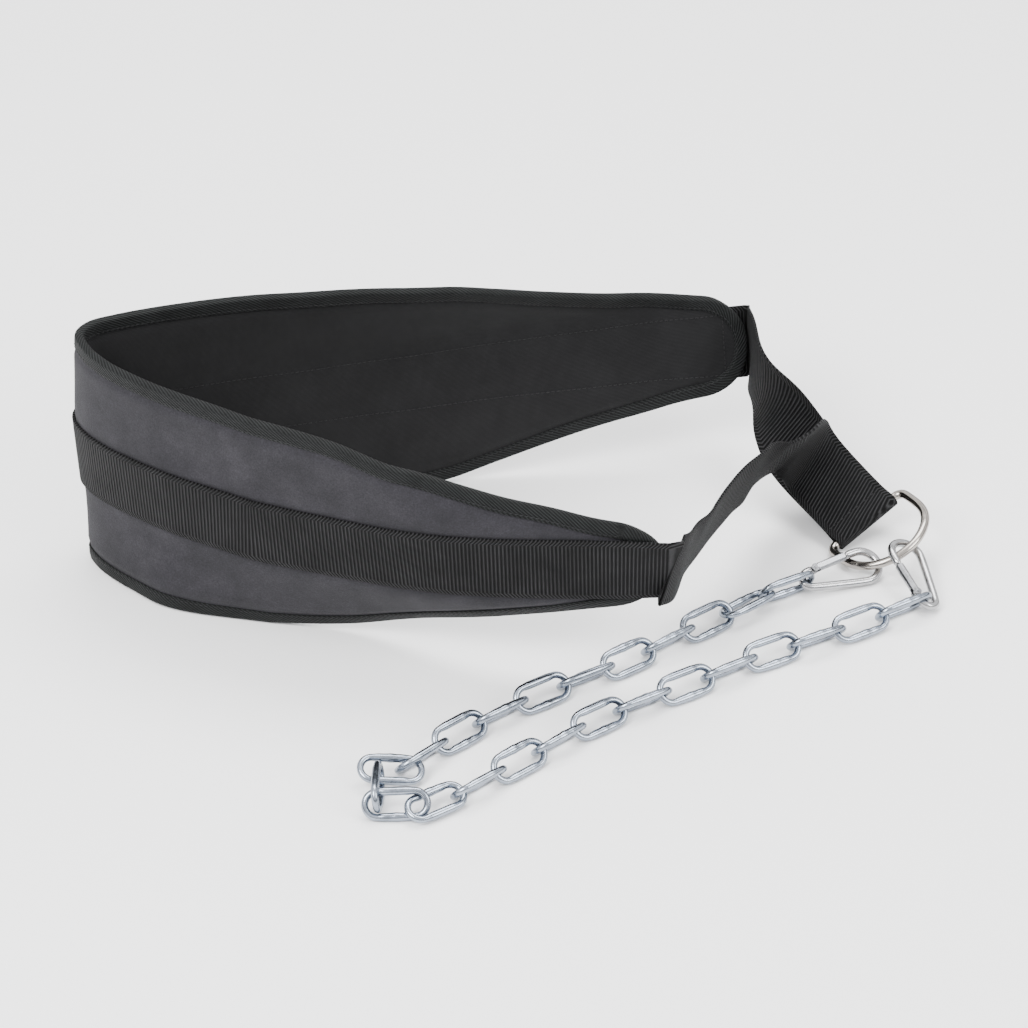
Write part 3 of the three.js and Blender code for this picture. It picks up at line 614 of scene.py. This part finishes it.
def make_tape():
    outline = [(u, full_half(u)) for u in straight] + [(u, cut_half(u)) for u in ends]
    outline += [(u, -cut_half(u)) for u in reversed(ends[:-1])]
    outline += [(u, -full_half(u)) for u in reversed(straight)]
    outline += [(-u, -cut_half(u)) for u in ends]
    outline += [(-u, cut_half(u)) for u in reversed(ends[:-1])]
    inner = PAD_EDGE / 2 + TAPE_GAP
    outer = inner + TAPE_THICK
    edge = TAPE_GAP + TAPE_THICK
    face = [(-TAPE_FLANGE, outer - TAPE_SOFT), (-TAPE_FLANGE + 0.4, outer)]
    face += [(-TAPE_FLANGE * 0.55, outer + TAPE_PUFF), (-1.4, outer)]
    for k in range(1, 8):
        turn = math.pi * k / 8
        face.append((edge - RIM_ROUND + RIM_ROUND * math.sin(turn), outer * math.cos(turn)))
    face += [(-1.4, -outer), (-TAPE_FLANGE * 0.55, -outer - TAPE_PUFF), (-TAPE_FLANGE + 0.4, -outer)]
    face += [(-TAPE_FLANGE, -outer + TAPE_SOFT), (-TAPE_FLANGE, -inner), (-0.2, -inner)]
    face += [(TAPE_GAP, 0), (-0.2, inner), (-TAPE_FLANGE, inner)]
    before_face = [face[-1]] + face[:-1]
    run = np.cumsum([math.dist(a, b) for a, b in zip(before_face, face)])
    points, uvs = [], []
    far = 0.0
    count = len(outline)
    for i, here in enumerate(outline):
        before, after = np.array(outline[i - 1]), np.array(outline[(i + 1) % count])
        here = np.array(here)
        ahead, behind = after - here, here - before
        far += np.linalg.norm(behind) if i else 0
        way = unit(unit(ahead) + unit(behind))
        side = np.array([-way[1], way[0]])
        if abs(here[0]) <= STRAIGHT_END + 1e-3:
            side = np.array([0, math.copysign(1, here[1])])
        wobble = 0.25 * math.sin(far / 37.0) + 0.15 * math.sin(far / 11.0)
        for k, (m, lift) in enumerate(face):
            m = m - (wobble if m < -TAPE_FLANGE * 0.8 else 0)
            points.append(pad_point(here[0] + side[0] * m, here[1] + side[1] * m, lift))
            uvs.append((far * MM, run[k] * MM))
    faces = ring_faces(count, len(face), True)
    tape = make_mesh("edge_tape", points, faces, uvs, materials=(TWILL,))
    outward(tape)
    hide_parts("edge_binding")
    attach(tape, "belt")
    return tape, outline


tape, tape_outline = make_tape()

# The webbing.

ON_PAD = PAD_THICK / 2 + GAP + WEB_THICK / 2
TAB_UP = unit(np.cross(TAB_WAY, BAR_WAY))
LAYER_LIFT = WEB_THICK / 2 + 0.1
WRAP = RING_WIRE / 2 + GAP + WEB_THICK / 2


def pad_row(u):
    place = pad_point(u, 0, ON_PAD)
    return place, unit(pad_point(u, BAND_FLAT, ON_PAD) - place)


def strap_row(row):
    return np.array(row[:3]) * WEB_WIDTH + BAR_MIDDLE, unit(row[3:])


def layer_row(share, height):
    return BAR_MIDDLE - TAB_WAY * share * WEB_WIDTH + TAB_UP * height, BAR_WAY.copy()


def smooth_rows(rows, first, last):
    places, crosses = [r[0] for r in rows], [r[1] for r in rows]
    spans = len(rows) - 1
    result = []
    for i in range(first * STRAP_STEPS, last * STRAP_STEPS + 1):
        t = i / (spans * STRAP_STEPS)
        result.append((catmull(places, t), unit(catmull(crosses, t, 0.5))))
    return result


def band_line():
    """The rows of the whole closed band, and how many of them lie on the pad."""
    steps = int(PAD_LENGTH / 3)
    on_pad = [-PAD_LENGTH / 2 + PAD_LENGTH * k / steps for k in range(steps + 1)]
    on_pad = [-PAD_LENGTH / 2 - PAST_END] + on_pad + [PAD_LENGTH / 2 + PAST_END]
    pad_part = [pad_row(u) for u in on_pad]
    lower = [layer_row(s, -LAYER_LIFT) for s in LOWER_LAYER]
    upper = [layer_row(s, LAYER_LIFT) for s in UPPER_LAYER]
    wrap = []
    for k in range(WRAP_STEPS + 1):
        turn = -math.pi / 2 + math.pi * k / WRAP_STEPS
        round_bar = TAB_WAY * math.cos(turn) + TAB_UP * math.sin(turn)
        wrap.append((BAR_MIDDLE + round_bar * WRAP, BAR_WAY.copy()))
    far_run = pad_part[-2:] + [strap_row(r) for r in FAR_STRAP] + lower
    near_run = upper + [strap_row(r) for r in NEAR_STRAP] + pad_part[:2]
    far = smooth_rows(far_run, 1, len(far_run) - 1)[1:]
    near = smooth_rows(near_run, 0, len(near_run) - 2)[:-1]
    return pad_part + far + wrap + near, len(pad_part)


def even_rows(rows, step):
    """The same closed band with its rows evenly spaced, and its whole length."""
    places = np.array([r[0] for r in rows] + [rows[0][0]])
    crosses = np.array([r[1] for r in rows] + [rows[0][1]])
    run = np.r_[0, np.cumsum(np.linalg.norm(np.diff(places, axis=0), axis=1))]
    count = int(run[-1] / step)
    at = run[-1] * np.arange(count) / count
    place = np.stack([np.interp(at, run, places[:, k]) for k in range(3)], 1)
    cross = unit(np.stack([np.interp(at, run, crosses[:, k]) for k in range(3)], 1))
    return place, cross, at, run[-1]


BAND_STEP = 1.5
band_rows, pad_count = band_line()
band_place, band_cross, band_at, band_length = even_rows(band_rows, BAND_STEP)
pad_line = np.array([row[0] for row in band_rows[:pad_count]])
pad_run = np.linalg.norm(np.diff(pad_line, axis=0), axis=1).sum()


def ease(values, rounds, fixed):
    """The values with the ones that aren't fixed drawn toward their neighbours."""
    for _ in range(rounds):
        eased = (np.roll(values, 1, 0) + 2 * values + np.roll(values, -1, 0)) / 4
        values = np.where(fixed[:, None], values, eased)
    return values


# The sewn parts of the band stay as they are: on the pad, round the bar and in the tab.
TAB_SHARE = 0.45
TAB_DEEP = 5
WRAP_REACH = 12
CROSS_ROUNDS = 130
PLACE_ROUNDS = 45
from_bar = band_place - BAR_MIDDLE
on_pad = band_at < pad_run - 1
round_the_bar = np.linalg.norm(from_bar, axis=1) < WRAP_REACH
in_tab = (from_bar @ TAB_WAY > -TAB_SHARE * WEB_WIDTH) & (np.abs(from_bar @ TAB_UP) < TAB_DEEP)
sewn = on_pad | round_the_bar | in_tab
band_cross = unit(ease(band_cross, CROSS_ROUNDS, sewn))
band_place = ease(band_place, PLACE_ROUNDS, sewn)

# The webbing's cut face, in shares of its width and thickness.
WEB_SECTION = [
    (-0.5, -0.30), (-0.494, -0.46), (-0.47, -0.5), (-0.42, -0.47), (-0.3, -0.5), (0, -0.5),
    (0.3, -0.5), (0.42, -0.47), (0.47, -0.5), (0.494, -0.46), (0.5, -0.30), (0.5, 0.30),
    (0.494, 0.46), (0.47, 0.5), (0.42, 0.47), (0.3, 0.5), (0, 0.5), (-0.3, 0.5),
    (-0.42, 0.47), (-0.47, 0.5), (-0.494, 0.46), (-0.5, 0.30),
]
STITCH_IN = 4
EDGE_SLANT = 0.9


def band_frames():
    way = unit(np.roll(band_place, -1, 0) - np.roll(band_place, 1, 0))
    cross = unit(band_cross - way * (band_cross * way).sum(1, keepdims=True))
    return way, cross, np.cross(cross, way)


band_way, band_side, band_out = band_frames()


# How much the ribs lean, at chosen places along the band.
RIB_SLANT = 0.38
RIB_TURN = 35
BAR_TURN = 4
bar_at = band_at[np.argmax((band_place - BAR_MIDDLE) @ TAB_WAY)]
slant_at = [0, pad_run, pad_run + RIB_TURN, bar_at - BAR_TURN]
slant_at += [bar_at + BAR_TURN, band_length - RIB_TURN, band_length]
rib_slant = np.interp(band_at, slant_at, [0, 0, RIB_SLANT, RIB_SLANT, -RIB_SLANT, -RIB_SLANT, 0])


def make_webbing():
    points, uvs, slants = [], [], []
    for i in range(len(band_place)):
        for across, lift in WEB_SECTION:
            v = across * WEB_WIDTH
            points.append(band_place[i] + band_side[i] * v + band_out[i] * lift * WEB_THICK)
            u = band_at[i]
            slant = max(abs(v) - (WEB_WIDTH / 2 - STITCH_IN), 0) * EDGE_SLANT + rib_slant[i] * v
            uvs.append((u * MM, v * MM))
            slants.append(((u + slant) * MM, v * MM))
    faces = ring_faces(len(band_place), len(WEB_SECTION), True)
    webbing = make_mesh("strap_webbing", points, faces, uvs, slants, materials=(RIBS_PAINTED_LIGHT,))
    outward(webbing)
    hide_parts("webbing")
    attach(webbing, "belt")
    return webbing


webbing = make_webbing()


# Stitches.


# Sizes of the threads and the spacing of their stitches.
THREAD = 0.33
PITCH = 3.6
TAPE_THREAD = 0.28
TAPE_PITCH = 3.4
TAB_THREAD = 0.36
THREAD_SIDES = 6

# One thread's rings: share of its length, depth in radii and thickness.
THREAD_RINGS = [(0, -0.55, 0.5), (0.18, 0.25, 0.95), (0.5, 0.5, 1), (0.82, 0.25, 0.95), (1, -0.55, 0.5)]


def add_stitch(points, faces, a, b, normal, radius):
    """One thread from a to b that dips into the cloth at both ends."""
    along = unit(b - a)
    side = np.cross(along, normal)
    sides = THREAD_SIDES
    base = len(points)
    for share, deep, size in THREAD_RINGS:
        centre = a + (b - a) * share + normal * deep * radius
        for k in range(sides):
            turn = 2 * math.pi * k / sides
            points.append(centre + (side * math.cos(turn) + normal * math.sin(turn)) * radius * size)
    spans = len(THREAD_RINGS) - 1
    for i in range(spans):
        here, ahead = base + i * sides, base + (i + 1) * sides
        for k in range(sides):
            n = (k + 1) % sides
            faces.append((here + k, here + n, ahead + n, ahead + k))
    faces.append(tuple(base + k for k in reversed(range(sides))))
    faces.append(tuple(base + spans * sides + k for k in range(sides)))


def stitches_along(name, lines, pitch, radius, material, fill=0.68):
    """Running stitches on each line, given as points and outward normals."""
    points, faces = [], []
    for place, normal in lines:
        run = np.r_[0, np.cumsum(np.linalg.norm(np.diff(place, axis=0), axis=1))]
        at = 0.0
        while at + pitch < run[-1]:
            ends_at = (at, at + pitch * fill)
            a, b = (np.array([np.interp(x, run, place[:, k]) for k in range(3)]) for x in ends_at)
            n = unit(np.array([np.interp(at + pitch / 2, run, normal[:, k]) for k in range(3)]))
            add_stitch(points, faces, a, b, n, radius)
            at += pitch
    thread = make_mesh(name, points, faces, materials=(material,))
    outward(thread)
    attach(thread, "belt")
    return thread


def webbing_line(rows, v, face=1):
    """A line on the webbing's face at a distance from its middle."""
    lift = face * (WEB_THICK / 2)
    place = band_place[rows] + band_side[rows] * v + band_out[rows] * lift
    return place, band_out[rows] * face


def cross_line(row, half, face=1):
    shares = np.linspace(-1, 1, 30) * half
    middle = band_place[row] + band_out[row] * face * WEB_THICK / 2
    place = np.array([middle + band_side[row] * v for v in shares])
    return place, np.repeat(band_out[row][None] * face, 30, 0)


pad_indices = np.where(band_at < pad_run - 8)[0][4:]
EDGE_V = WEB_WIDTH / 2 - STITCH_IN
facing = 1 if np.dot(band_out[pad_indices[50]], pad_place(0)[2]) > 0 else -1
lines = [webbing_line(pad_indices, s * EDGE_V, facing) for s in (-1, 1)]
first, last = pad_indices[3], pad_indices[-4]
lines += [cross_line(first, EDGE_V, facing), cross_line(first + 3, EDGE_V, facing)]
lines += [cross_line(last, EDGE_V, facing), cross_line(last - 3, EDGE_V, facing)]
stitches_along("webbing_stitches", lines, PITCH, THREAD, DARK_THREAD)


def inner_lines():
    result = []
    us = np.arange(-PAD_LENGTH / 2 + 14, PAD_LENGTH / 2 - 14, 2.0)
    for s in (-1, 1):
        place, normal = [], []
        for u in us:
            deep = half_thick(u, s * EDGE_V) + 0.02
            here = pad_point(u, s * EDGE_V, -deep)
            place.append(here)
            normal.append(unit(here - pad_point(u, s * EDGE_V, 0)))
        result.append((np.array(place), np.array(normal)))
    for u in (PAD_LENGTH / 2 - 16, -PAD_LENGTH / 2 + 16):
        vs = np.linspace(-EDGE_V, EDGE_V, 30)
        place = np.array([pad_point(u, v, -half_thick(u, v) - 0.02) for v in vs])
        normal = unit(place - np.array([pad_point(u, v, 0) for v in vs]))
        result.append((place, normal))
    return result


stitches_along("inner_stitches", inner_lines(), PITCH, THREAD, GREY_THREAD)


def tape_stitch_lines():
    result = []
    for face in (1, -1):
        place, normal = [], []
        for i, (u, v) in enumerate(tape_outline):
            before = np.array(tape_outline[i - 1])
            after = np.array(tape_outline[(i + 1) % len(tape_outline)])
            way = unit(after - before)
            side = np.array([-way[1], way[0]])
            if abs(u) <= STRAIGHT_END + 1e-3:
                side = np.array([0, math.copysign(1, v)])
            m = -(TAPE_FLANGE - 1.8)
            lift = face * (PAD_EDGE / 2 + TAPE_GAP + TAPE_THICK + 0.03)
            here = pad_point(u + side[0] * m, v + side[1] * m, lift)
            place.append(here)
            normal.append(unit(here - pad_point(u + side[0] * m, v + side[1] * m, 0)))
        result.append((np.array(place), np.array(normal)))
    return result


stitches_along("tape_stitches", tape_stitch_lines(), TAPE_PITCH, TAPE_THREAD, DARK_THREAD)


def tab_stitch_lines():
    """Two stitched rows across the doubled tab beside the bar, on both its faces."""
    result = []
    for share in (0.13, 0.21):
        for face in (1, -1):
            high = face * (LAYER_LIFT + WEB_THICK / 2)
            middle = BAR_MIDDLE - TAB_WAY * share * WEB_WIDTH + TAB_UP * high
            shares = np.linspace(-1, 1, 30) * (WEB_WIDTH / 2 - 2)
            line = np.array([middle + BAR_WAY * v for v in shares])
            result.append((line, np.repeat(TAB_UP[None] * face, 30, 0)))
    return result


stitches_along("tab_stitches", tab_stitch_lines(), TAPE_PITCH, TAB_THREAD, DARK_THREAD)

# Ring, hooks and gates.


def sweep_wire(name, line, radius, material, closed=True, sides=20, swell=None):
    """A round wire along a line, with the line's own plane as its guide."""
    middle = line.mean(0)
    _, _, axes = np.linalg.svd(line - middle)
    normal = axes[2]
    points = []
    count = len(line)
    for i, point in enumerate(line):
        before = line[(i - 1) % count] if closed else line[max(i - 1, 0)]
        after = line[(i + 1) % count] if closed else line[min(i + 1, count - 1)]
        way = unit(after - before)
        side = unit(np.cross(way, normal))
        size = radius * (1 if swell is None else swell[i])
        for k in range(sides):
            turn = 2 * math.pi * k / sides
            points.append(point + side * size * math.cos(turn) + normal * size * math.sin(turn))
    wire = make_mesh(name, points, ring_faces(count, sides, closed), materials=(material,))
    return outward(wire)


ring = sweep_wire("ring_wire", ring_points, RING_WIRE / 2, NICKEL, sides=24)
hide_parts("d_ring")
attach(ring, "belt")


def smoothed(node, name, material, body, levels, grow, sharp=None):
    """A finer copy of a solid: its facets joined and rounded, and grown back to its size."""
    copy = bpy.data.objects.new(name, nodes[node].data.copy())
    bpy.context.scene.collection.objects.link(copy)
    bm = bmesh.new()
    bm.from_mesh(copy.data)
    bmesh.ops.remove_doubles(bm, verts=bm.verts, dist=1e-6)
    bmesh.ops.join_triangles(bm, faces=bm.faces, angle_face_threshold=0.7, angle_shape_threshold=1.2)
    if grow:
        bm.normal_update()
        for vert in bm.verts:
            vert.co += vert.normal * grow
    bm.to_mesh(copy.data)
    bm.free()
    copy.data.materials.clear()
    copy.data.materials.append(material)
    if sharp is None:
        modifier = copy.modifiers.new("finer", "SUBSURF")
        modifier.levels = modifier.render_levels = levels
        copy.data.polygons.foreach_set("use_smooth", [True] * len(copy.data.polygons))
    else:
        modifier = copy.modifiers.new("edges", "BEVEL")
        modifier.width, modifier.segments, modifier.limit_method = sharp, 2, "ANGLE"
        modifier.angle_limit = math.radians(38)
        bpy.context.view_layer.objects.active = copy
        copy.select_set(True)
        bpy.ops.object.shade_auto_smooth(angle=math.radians(40))
        copy.select_set(False)
    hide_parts(node)
    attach(copy, body)
    return copy


HOOK_GROW = 0.0001
GATE_BEVEL = 0.0003
for side in ("left", "right"):
    body, wire = f"snap_hook_{side}_body", f"hook_{side}_wire"
    smoothed(body, wire, HOOK_METAL, "belt", 2, HOOK_GROW)
    gate, bar = f"snap_hook_{side}_gate", f"hook_{side}_gate_bar"
    smoothed(gate, bar, GATE_METAL, f"{side}_gate", 0, 0, GATE_BEVEL)

# The chain.


def link_frame(node):
    """Middle, long way and short way of a link's solid."""
    points = np.array([v.co for v in node.data.vertices]) / MM - SHIFT
    unique = np.unique(points.round(2), axis=0)
    middle = unique.mean(0)
    _, _, axes = np.linalg.svd(unique - middle)
    return middle, axes[0], axes[1]


BOW_STEPS = 16

# How much thicker a link's wire is along its sides and at its weld, in shares of its size.
SIDE_SWELL = 0.2
SIDE_EASE = 4
WELD_SWELL = 0.14
WELD_REACH = 2.1


def link_line(middle, way, side, weld_side):
    bow = LINK_WIDTH / 2 - LINK_WIRE / 2
    reach = LINK_LENGTH / 2 - LINK_WIRE / 2 - bow
    line, swell = [], []
    for end in (1, -1):
        for k in range(BOW_STEPS + 1):
            turn = -math.pi / 2 + math.pi * k / BOW_STEPS
            out = way * end * (reach + bow * math.cos(turn))
            line.append(middle + out + side * end * bow * math.sin(turn))
            swell.append(1.0)
        for k in range(1, BOW_STEPS):
            share = k / BOW_STEPS
            x = reach * (1 - 2 * share) * end
            line.append(middle + way * x + side * end * bow)
            bump = math.exp(-((x / WELD_REACH) ** 2)) * (WELD_SWELL if end == weld_side else 0)
            full = SIDE_SWELL * min(max((reach - abs(x)) / SIDE_EASE, 0), 1)
            swell.append(1 + bump + full)
    return np.array(line), swell


for number in range(1, 26):
    name = f"chain_link_{number:02d}"
    middle, way, side = link_frame(nodes[name])
    line, swell = link_line(middle, way, side, 1 if number % 3 else -1)
    link = sweep_wire(f"link_{number:02d}", line, LINK_WIRE / 2, ZINC, sides=16, swell=swell)
    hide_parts(name)
    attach(link, "belt")

# Floor, light and camera.


def make_stage():
    bm = bmesh.new()
    bmesh.ops.create_grid(bm, x_segments=1, y_segments=1, size=12)
    mesh = bpy.data.meshes.new("floor")
    bm.to_mesh(mesh)
    bm.free()
    floor = bpy.data.objects.new("floor", mesh)
    floor.location.z = -0.0003
    p = Paint("floor_pale")
    mesh.materials.append(p.finish((0.93, 0.93, 0.93), 0.9, specular_ior_level=0.0))
    bpy.context.scene.collection.objects.link(floor)
    world = bpy.data.worlds.new("studio")
    bpy.context.scene.world = world
    world.use_nodes = True
    tree = world.node_tree
    background = tree.nodes["Background"]
    place = tree.nodes.new("ShaderNodeTexCoord")
    parts_of = tree.nodes.new("ShaderNodeSeparateXYZ")
    ramp = tree.nodes.new("ShaderNodeValToRGB")
    tree.links.new(place.outputs["Generated"], parts_of.inputs[0])
    tree.links.new(parts_of.outputs["Z"], ramp.inputs["Fac"])
    tree.links.new(ramp.outputs["Color"], background.inputs["Color"])
    # a dark band low down and another above give the metal its dark reflections
    stops = [(0.0, 0.9), (0.08, 0.12), (0.22, 0.10), (0.34, 0.9), (0.62, 1.0), (0.7, 0.35), (0.8, 1.0)]
    while len(ramp.color_ramp.elements) < len(stops):
        ramp.color_ramp.elements.new(0.5)
    for element, (at, grey) in zip(ramp.color_ramp.elements, stops):
        element.position = at
        element.color = (grey, grey, grey * 1.01, 1)
    background.inputs["Strength"].default_value = 1.9


def add_light(name, place, aim, size, power):
    light = bpy.data.lights.new(name, "AREA")
    light.shape, light.size, light.size_y, light.energy = "RECTANGLE", size[0], size[1], power
    lamp = bpy.data.objects.new(name, light)
    lamp.location = place
    lamp.rotation_euler = (Vector(aim) - Vector(place)).to_track_quat("-Z", "Y").to_euler()
    bpy.context.scene.collection.objects.link(lamp)


make_stage()
add_light("key_light", (-1.1, -1.2, 1.9), (0, 0, 0.05), (1.2, 1.2), 80)
add_light("fill_light", (1.6, -0.9, 1.3), (0, 0, 0.05), (1.0, 1.0), 30)
add_light("top_light", (0.2, 0.8, 2.2), (0, 0, 0), (1.6, 1.0), 50)

CAMERA_AIM = np.array([287.0, 40.0, 0.0])
CAMERA_FAR = 3000
CAMERA_HIGH = math.radians(35)
back = np.array([0, -math.cos(CAMERA_HIGH), math.sin(CAMERA_HIGH)])
camera = bpy.data.objects.new("camera", bpy.data.cameras.new("camera"))
camera.data.lens = 154.4
camera.data.sensor_width = 36
camera.data.clip_end = 50
camera.location = Vector((CAMERA_AIM + SHIFT * np.array([1, 1, 0]) + back * CAMERA_FAR) * MM)
camera.rotation_euler = Vector(-back).to_track_quat("-Z", "Y").to_euler()
bpy.context.scene.collection.objects.link(camera)
bpy.context.scene.camera = camera
